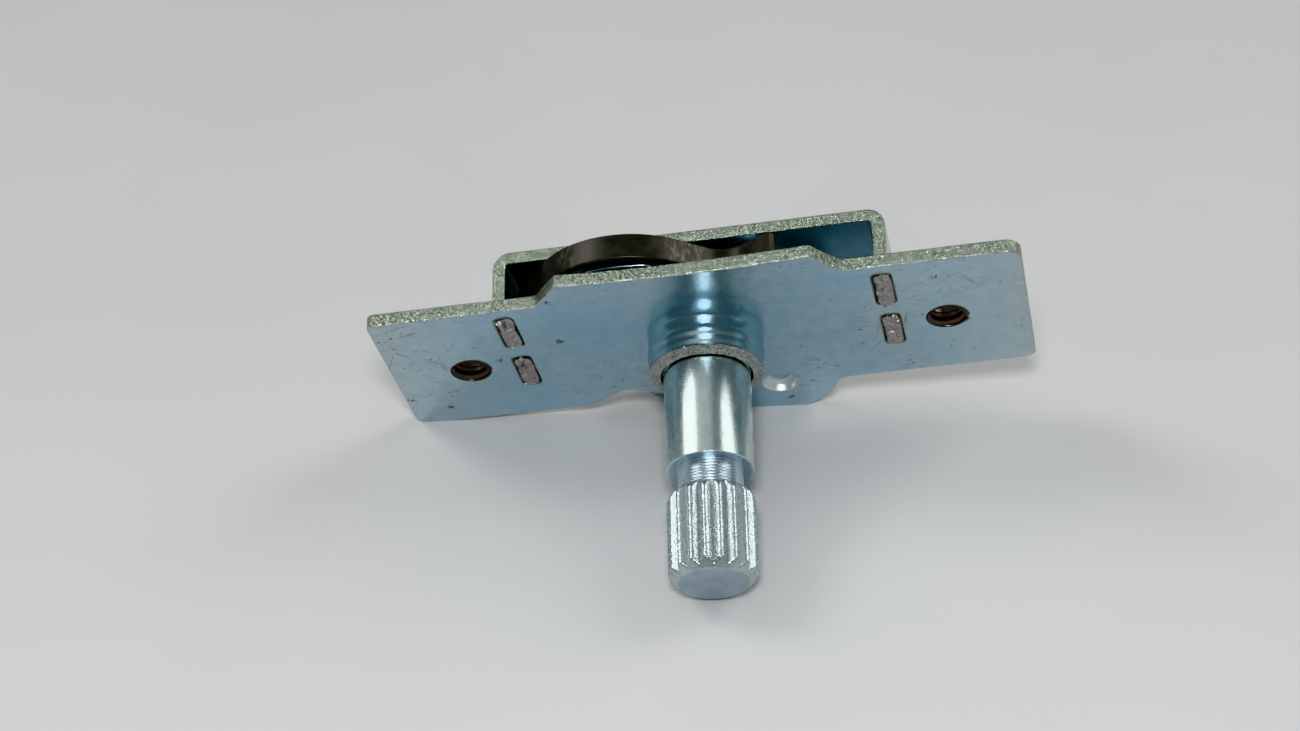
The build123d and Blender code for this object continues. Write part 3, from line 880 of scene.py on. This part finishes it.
tenon_bm = bmesh.new()
for side, level, outward, lift, seed in STAKES:
    tenon_skin(tenon_bm, side * (SLOT_X + outward), TENON_ZS[1 - level] + lift, seed)
make_piece("staked_tenons", tenon_bm, [CRUSHED], "housing")

# %% [markdown]
# ## The spindle
# The shaft is turned, so it is a lathe shape: clip groove, shoulder, sleeve, and behind the plate a square for the
# lever and a journal. Tool rings in the groove are real ridges, a few hundredths of a millimetre high.

# %% Shaft
SPINDLE_LOW, SPINDLE_HIGH = box_mm("handle_spindle")
SLEEVE_R = SPINDLE_HIGH.x
TIP_Y = SPINDLE_LOW.y
HEAD_Y, SHOULDER_Y = -21.1, -17.9
GROOVE_R = 3.95
LEVER_FRONT, LEVER_BACK, SQUARE = 2.4, 5.4, 8.0
RELIEF, RELIEF_R = (-4.8, -4.15), 5.2
JOURNAL_R, JOURNAL_END = 3.8, SPINDLE_HIGH.y
SHAFT_STEPS = 160
SLEEVE, GROOVE = 0, 1


def groove_profile():
    """The groove's floor with its tool rings, from the head to the shoulder."""
    pitch, height, samples = 0.4, 0.03, 6
    count = round((SHOULDER_Y - HEAD_Y) / pitch) * samples
    points = []
    for i in range(count):
        wave = math.cos(2 * math.pi * i / samples)
        points.append((GROOVE_R + height * wave, HEAD_Y + (i + 0.5) * pitch / samples))
    return points


def square_ring(bm, y):
    """A square of the spindle with corners left round, on as many points as a turned ring."""
    points = []
    for x, z in circle(SLEEVE_R, SHAFT_STEPS):
        scale = min(1, SQUARE / 2 / max(abs(x), abs(z)))
        points.append((x * scale, y, z * scale))
    return ring(bm, points)


def shaft_skin(bm):
    """The shaft from inside the head to the end of the journal."""
    neck = [(1.0, HEAD_Y - 0.4), (GROOVE_R, HEAD_Y - 0.4)] + groove_profile()
    first, last = loft(bm, turned_rings(bm, neck, SHAFT_STEPS), GROOVE)
    cap(bm, first, GROOVE)
    edge = 0.16
    shoulder = [(GROOVE_R + 0.25, SHOULDER_Y - 0.02), (SLEEVE_R - edge - 0.25, SHOULDER_Y)]
    shoulder += arc((SLEEVE_R - edge, SHOULDER_Y + edge), edge, -90, 0, 4)
    step = turned_rings(bm, shoulder, SHAFT_STEPS)
    band(bm, last, step[0], GROOVE)
    loft(bm, step, GROOVE)
    runs = [(SLEEVE_R, SHOULDER_Y + edge), (SLEEVE_R, RELIEF[0]), (RELIEF_R, RELIEF[0])]
    runs += [(RELIEF_R, RELIEF[1]), (SLEEVE_R, RELIEF[1]), (SLEEVE_R, LEVER_FRONT)]
    sleeve = turned_rings(bm, runs, SHAFT_STEPS)
    loft(bm, sleeve, SLEEVE)
    square = [square_ring(bm, y) for y in (LEVER_FRONT, LEVER_BACK)]
    band(bm, sleeve[-1], square[0], SLEEVE)
    loft(bm, square, SLEEVE)
    chamfer = 0.4
    tail = [(JOURNAL_R, LEVER_BACK), (JOURNAL_R, JOURNAL_END - chamfer), (JOURNAL_R - 0.12, JOURNAL_END - 0.14)]
    tail += [(JOURNAL_R - chamfer, JOURNAL_END), (0.5, JOURNAL_END), (0.1, JOURNAL_END - 0.12)]
    journal = turned_rings(bm, tail, SHAFT_STEPS)
    band(bm, square[-1], journal[0], SLEEVE)
    loft(bm, journal, SLEEVE)
    cap(bm, journal[-1], SLEEVE)


shaft_finishes = [ZINC_SLEEVE, ZINC_GROOVE]
make_piece("spindle_shaft", built(shaft_skin), shaft_finishes, "spindle", ["handle_spindle"])

# %% [markdown]
# ## The splined head
# The eighteen teeth are all alike, so one tooth space is modelled and Geometry Nodes copies it round the axis.
# The slice follows a rule: at each angle its radius is the smaller of the turned blank and the V cutter, which
# gives the cutter's run-out on the end chamfer for free.

# %% One slice of the head
TEETH = 18
ROOT_R, CREST = 4.72, 0.34
TIP_FACE_R, TIP_CHAMFER, HEAD_ROUND = 4.25, 1.1, 1.3
FLANK, TIP = 0, 1


def vee_radius(angle):
    """The V cutter's surface at an angle from the middle of a tooth space."""
    half_mouth = (2 * math.pi * SLEEVE_R / TEETH - CREST) / 2
    lean = half_mouth / (SLEEVE_R - ROOT_R)
    return ROOT_R * lean / (lean * math.cos(angle) - math.sin(abs(angle)))


def blank_profile():
    """The turned blank from the tip's centre to the back of the head."""
    soft = 0.12
    tip = [(0.9, TIP_Y), (2.4, TIP_Y), (3.6, TIP_Y), (TIP_FACE_R - soft, TIP_Y), (TIP_FACE_R, TIP_Y + soft * 0.4)]
    steps = 8
    for i in range(1, steps + 1):
        t = i / steps
        tip.append((TIP_FACE_R + (SLEEVE_R - TIP_FACE_R) * t, TIP_Y + soft * 0.4 + TIP_CHAMFER * t))
    start, end = TIP_Y + TIP_CHAMFER + 0.2, HEAD_Y - HEAD_ROUND
    body = [(SLEEVE_R, start + (end - start) * i / 6) for i in range(7)]
    back = arc((SLEEVE_R - HEAD_ROUND, HEAD_Y - HEAD_ROUND), HEAD_ROUND, 0, 90, 8)[1:]
    return tip + body + back + [(GROOVE_R - 0.1, HEAD_Y)]


def head_slice():
    """The skin of one tooth space, with the tip's centre."""
    bm = bmesh.new()
    half = math.pi / TEETH
    crest = half - CREST / 2 / SLEEVE_R
    right = [crest * share for share in (0.08, 0.25, 0.5, 0.75, 1)] + [half]
    spread = [-angle for angle in reversed(right)] + [0] + right
    rows = []
    for radius, y in blank_profile():
        cuts = [(min(radius, vee_radius(angle)), angle) for angle in spread]
        rows.append(ring(bm, [(r * math.cos(angle), y, r * math.sin(angle)) for r, angle in cuts]))
    centre = bm.verts.new((0, TIP_Y * MM, 0))
    for i in range(len(spread) - 1):
        paint(bm.faces.new((centre, rows[0][i], rows[0][i + 1])), TIP)
        for low, high in zip(rows, rows[1:]):
            on_tip = high[i].co.y < (TIP_Y + 0.1) * MM
            paint(bm.faces.new((low[i], high[i], high[i + 1], low[i + 1])), TIP if on_tip else FLANK)
    mesh = mesh_from(bm, "head_slice")
    mesh.materials.append(ZINC_SPLINE)
    mesh.materials.append(ZINC_TIP)
    return mesh


SLICE = head_slice()
print("one tooth space has", len(SLICE.polygons), "faces")

# %% Copies round the axis
def teeth_tree():
    """Copies a slice round the Y axis and welds the copies."""
    tree = new_geometry_tree("teeth_round_axis")
    group_input(tree, "Teeth", "NodeSocketInt", TEETH)
    group_input(tree, "Weld", "NodeSocketFloat", 0.000001)
    group_input(tree, "Tip finish", "NodeSocketMaterial", None)
    inputs = tree.nodes.new("NodeGroupInput").outputs
    points = add(tree, "GeometryNodeMeshLine", {"Count": inputs["Teeth"], "Offset": (0, 0, 0)}).outputs[0]
    index = add(tree, "GeometryNodeInputIndex").outputs[0]
    angle = times(tree, index, maths(tree, "DIVIDE", 2 * math.pi, inputs["Teeth"]))
    turn = add(tree, "ShaderNodeCombineXYZ", {"Y": angle}).outputs[0]
    turn = add(tree, "FunctionNodeEulerToRotation", {0: turn}).outputs[0]
    copied = {"Points": points, "Instance": inputs["Geometry"], "Rotation": turn}
    copies = add(tree, "GeometryNodeInstanceOnPoints", copied).outputs[0]
    solid = add(tree, "GeometryNodeRealizeInstances", {0: copies}).outputs[0]
    solid = add(tree, "GeometryNodeMergeByDistance", {"Geometry": solid, "Distance": inputs["Weld"]}).outputs[0]
    tip = add(tree, "GeometryNodeInputMaterialIndex").outputs[0]
    tip = add(tree, "FunctionNodeCompare", {"A": tip, "B": TIP}, data_type="INT", operation="EQUAL").outputs[0]
    finish = {"Geometry": solid, "Selection": tip, "Material": inputs["Tip finish"]}
    solid = add(tree, "GeometryNodeSetMaterial", finish).outputs[0]
    add(tree, "NodeGroupOutput", {0: solid})
    return tree


head_bm = bmesh.new()
head_bm.from_mesh(run_tree(teeth_tree(), "splined_head", SLICE, {"Teeth": TEETH, "Tip finish": ZINC_TIP}))
make_piece("splined_head", head_bm, [ZINC_SPLINE, ZINC_TIP], "spindle")

# %% [markdown]
# ## The leaf spring
# A strip bent on edge: riveted tail, one long arch, a trough and a raised end. It is a small rounded rectangle
# carried along the strip's middle line, with each ring square to the line.

# %% Leaf
LEAF_T, LEAF_W, LEAF_Y = 1.098, 3.4, 4.3
LEAF_EDGE, END_SOFT = 0.22, 0.12
TAIL_X = -(IN_X - LEAF_T / 2)
RISE = math.radians(52)
ARCH, ARCH_R = (-8.3, 6.15), 11.5
TROUGH, TROUGH_R = (4.56, 10.69), 4.0
TAIL_Z, TAIL_R, LEAF_END = -3.5, 5.0, (10.75, 14.37)


def leaf_line():
    """The strip's middle line, from its tail to its raised end."""
    start = (ARCH[0] - ARCH_R * math.sin(RISE), ARCH[1] + ARCH_R * math.cos(RISE))
    tail_top = start[1] - math.tan(RISE) * (start[0] - TAIL_X)
    drop = Vector((TROUGH[0] - ARCH[0], ARCH[1] - TROUGH[1]))
    fall = math.atan2(drop.y, drop.x) + math.asin(ARCH_R / drop.length)
    run = ARCH_R * math.tan((RISE + fall) / 2)
    corner = (start[0] + run * math.cos(RISE), start[1] + run * math.sin(RISE), ARCH_R)
    bends = [(TAIL_X, TAIL_Z, 0), (TAIL_X, tail_top, TAIL_R), corner, (*TROUGH, TROUGH_R), (*LEAF_END, 0)]
    return rounded(bends, closed=False, steps=26)


def leaf_skin(bm):
    """Rings of the strip's section along its line, with softened ends."""
    line = leaf_line()
    count = len(line)
    rings = []
    half_t, half_w = LEAF_T / 2, LEAF_W / 2
    for i, point in enumerate(line):
        before, after = Vector(line[max(i - 1, 0)]), Vector(line[min(i + 1, count - 1)])
        along = (after - before).normalized()
        across = Vector((-along.y, along.x))
        places = [(Vector(point), 0.0)]
        if i in (0, count - 1):
            inward = along if i == 0 else -along
            places = [(Vector(point), END_SOFT), (Vector(point) + inward * END_SOFT, 0.0)]
            if i:
                places.reverse()
        for place, pull in places:
            t, w, r = half_t - pull, half_w - pull, LEAF_EDGE - pull * 0.6
            section = rounded([(-t, -w, r), (t, -w, r), (t, w, r), (-t, w, r)], steps=4)
            spots = [(place.x + across.x * a, LEAF_Y + b, place.y + across.y * a) for a, b in section]
            rings.append(ring(bm, spots))
    first, last = loft(bm, rings, 0)
    cap(bm, first, 1)
    cap(bm, last, 1)


leaf_finishes = [SPRING, SPRING_CUT]
make_piece("leaf_spring_skin", built(leaf_skin), leaf_finishes, "housing", ["leaf_spring"])

# %% [markdown]
# ## Rivet and washers
# These small turned parts are lathe shapes. The rivet lies along X, so it is turned after it is made. The dished
# washer is a thin cone: it is what keeps the spindle from rattling.

# %% Rivet and washers
def rivet_piece():
    """The rivet through the bracket's left leg and the leaf's tail."""
    low, high = box_mm("spring_rivet")
    head, grip = 0.9, STRIP + LEAF_T
    bm = bmesh.new()
    dome = [(1.9 * math.sin(a), -head * math.cos(a)) for a in (math.radians(d) for d in range(8, 91, 9))]
    shank = [(1.9, 0), (0.9, 0.02), (0.9, grip), (1.5, grip + 0.02), (1.45, grip + 0.35), (1.0, grip + 0.58)]
    for end_ring in loft(bm, turned_rings(bm, dome + shank + [(0.2, high.x - low.x - head)], HOLE_STEPS)):
        cap(bm, end_ring)
    place = Matrix.Translation(Vector((low.x + head, (low.y + high.y) / 2, (low.z + high.z) / 2)) * MM)
    bmesh.ops.transform(bm, matrix=place @ Matrix.Rotation(math.radians(-90), 4, "Z"), verts=bm.verts)
    make_piece("spring_rivet_skin", bm, [OILED_STEEL], "housing", ["spring_rivet"])


def washer_piece(name, node, inner_r, thickness, dish):
    """A washer from its CAD box, flat or dished."""
    low, high = box_mm(node)
    outer_r = high.x
    soft = 0.08
    near, far = low.y, low.y + dish
    profile = [(inner_r, near + soft), (inner_r + soft, near), (outer_r - soft, far), (outer_r, far + soft)]
    near, far = near + thickness, far + thickness
    profile += [(outer_r, far - soft), (outer_r - soft, far), (inner_r + soft, near), (inner_r, near - soft)]
    bm = bmesh.new()
    rings = turned_rings(bm, profile, 96)
    loft(bm, rings + rings[:1])
    make_piece(name, bm, [OILED_STEEL], "housing", [node])


rivet_piece()
DISH_T = 0.5
dished_low, dished_high = box_mm("dished_washer")
washer_piece("front_washer_skin", "front_washer", BORE_R, 0.52, 0.0)
washer_piece("dished_washer_skin", "dished_washer", 3.9, DISH_T, dished_high.y - dished_low.y - DISH_T)

# %% [markdown]
# ## The cam lever
# The lever is a thick stamping whose shape the CAD model already holds. A copy of its mesh is welded, its flat
# faces are joined up again, and a Bevel modifier rounds the edges, so that its nose shows a bright line.

# %% Lever
def lever_piece():
    """The CAD lever with rounded edges."""
    bm = bmesh.new()
    bm.from_mesh(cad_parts["cam_lever"].data)
    bmesh.ops.remove_doubles(bm, verts=bm.verts, dist=0.001 * MM)
    bmesh.ops.dissolve_limit(bm, angle_limit=math.radians(1), verts=bm.verts, edges=bm.edges)
    for face in bm.faces:
        paint(face, 0)
    piece = make_piece("cam_lever_skin", bm, [LEVER_ZINC], "spindle", ["cam_lever"])
    piece.modifiers.remove(piece.modifiers["even_normals"])
    soft = piece.modifiers.new("soft_edges", "BEVEL")
    soft.width = 0.22 * MM
    soft.segments = 3
    soft.limit_method = "ANGLE"
    soft.angle_limit = math.radians(60)
    soft.harden_normals = True


lever_piece()

# %% [markdown]
# ## Table, light and camera
# The mechanism lies as it would on a bench: it rests on the spindle's tip, one corner of the plate and the lobe.
# Those three points give the table's plane. The table is see-through from below, so that it never hides the part.
# Two soft boxes stand behind it, a wide faint one hangs overhead, a small bright one is near the camera, and two
# faint windows stand at the sides.

# %% Table
tip_point = Vector((-0.6, TIP_Y + TIP_CHAMFER, -SLEEVE_R)) * MM
corner_point = Vector((-WING + 0.6, SHEET, WING_BOTTOM)) * MM
lobe_point = Vector((LOBE[0], SHEET, LOBE[1] - LOBE_R)) * MM
table_up = (lobe_point - tip_point).cross(corner_point - tip_point).normalized()
if table_up.z < 0:
    table_up.negate()


def table_material():
    """Matt white board, clear from below."""
    material, tree = new_material("table_board")
    point = object_point(tree)
    tone = between(tree, noise_value(tree, point, 60, 3), 0.35, 0.7)
    colour = mix_colour(tree, tone, (0.62, 0.625, 0.61, 1), (0.6, 0.6, 0.605, 1))
    board = add(tree, "ShaderNodeBsdfPrincipled", {"Base Color": colour, "Roughness": 0.6})
    clear = add(tree, "ShaderNodeBsdfTransparent")
    below = add(tree, "ShaderNodeNewGeometry").outputs["Backfacing"]
    both = add(tree, "ShaderNodeMixShader", {0: below, 1: board.outputs[0], 2: clear.outputs[0]})
    add(tree, "ShaderNodeOutputMaterial", {"Surface": both.outputs[0]})
    return material


def table_piece():
    """A wide flat disc through the three contact points."""
    bm = bmesh.new()
    bmesh.ops.create_circle(bm, cap_ends=True, radius=2.5, segments=96)
    mesh = mesh_from(bm, "table")
    mesh.materials.append(table_material())
    mesh.transform(Matrix.Translation(tip_point) @ table_up.to_track_quat("Z", "Y").to_matrix().to_4x4())
    placed("table", mesh)


table_piece()
print("table faces", [round(v, 3) for v in table_up])

# %% Light
WARM, GREENISH, BLUISH = (1.0, 0.99, 0.97), (0.96, 1.0, 0.97), (0.98, 0.99, 1.0)
# name: direction, distance in metres, size in metres, power in watts, colour
LIGHTS = {
    "left_box": ((-0.585, 0.482, 0.653), 0.9, 0.4, 2.2, WARM),
    "right_box": ((0.786, 0.482, 0.385), 0.9, 0.55, 2.4, WARM),
    "ceiling": ((-0.1, 0.4, 1.0), 1.1, 0.9, 0.8, (0.95, 1.0, 0.97)),
    "lens_ring": ((0.13, -0.34, 0.93), 0.42, 0.08, 0.95, BLUISH),
    "left_window": ((-0.97, -0.12, 0.2), 0.6, 0.2, 0.08, GREENISH),
    "right_window": ((0.93, -0.22, 0.28), 0.6, 0.2, 0.05, GREENISH),
}


def soft_box(name, direction, distance, size, power, colour):
    """A round area light that faces the mechanism."""
    light = bpy.data.lights.new(name, "AREA")
    light.shape = "DISK"
    light.size = size
    light.energy = power
    light.color = colour
    lamp = placed(name, light)
    toward = Vector(direction).normalized()
    lamp.location = toward * distance
    lamp.rotation_mode = "QUATERNION"
    lamp.rotation_quaternion = toward.to_track_quat("Z", "Y")


for light_name, setting in LIGHTS.items():
    soft_box(light_name, *setting)

world = bpy.data.worlds.new("room")
bpy.context.scene.world = world
world.use_nodes = True
room = world.node_tree
room.nodes.clear()
seen = add(room, "ShaderNodeLightPath").outputs["Is Camera Ray"]
ambient = add(room, "ShaderNodeBackground", {"Color": (0.8, 0.84, 0.86, 1), "Strength": 0.3})
backdrop = add(room, "ShaderNodeBackground", {"Color": (0.53, 0.54, 0.52, 1), "Strength": 1.0})
both = add(room, "ShaderNodeMixShader", {0: seen, 1: ambient.outputs[0], 2: backdrop.outputs[0]})
add(room, "ShaderNodeOutputWorld", {"Surface": both.outputs[0]})
bpy.context.scene.view_settings.view_transform = "Khronos PBR Neutral"

# %% Camera
CAMERA_AT = (46.83, -171.2, 291.73)
LOOK = Vector((-0.158, 0.49511, -0.85434))
RIGHT = Vector((0.98105, -0.01955, -0.19276))
camera_data = bpy.data.cameras.new("camera")
camera_data.lens = 76.2
camera_data.sensor_width = 36
camera = placed("camera", camera_data)
back = -LOOK.normalized()
right = (RIGHT - back * RIGHT.dot(back)).normalized()
up = back.cross(right)
facing = Matrix((right, up, back)).transposed().to_4x4()
camera.matrix_world = Matrix.Translation(Vector(CAMERA_AT) * MM) @ facing
bpy.context.scene.camera = camera
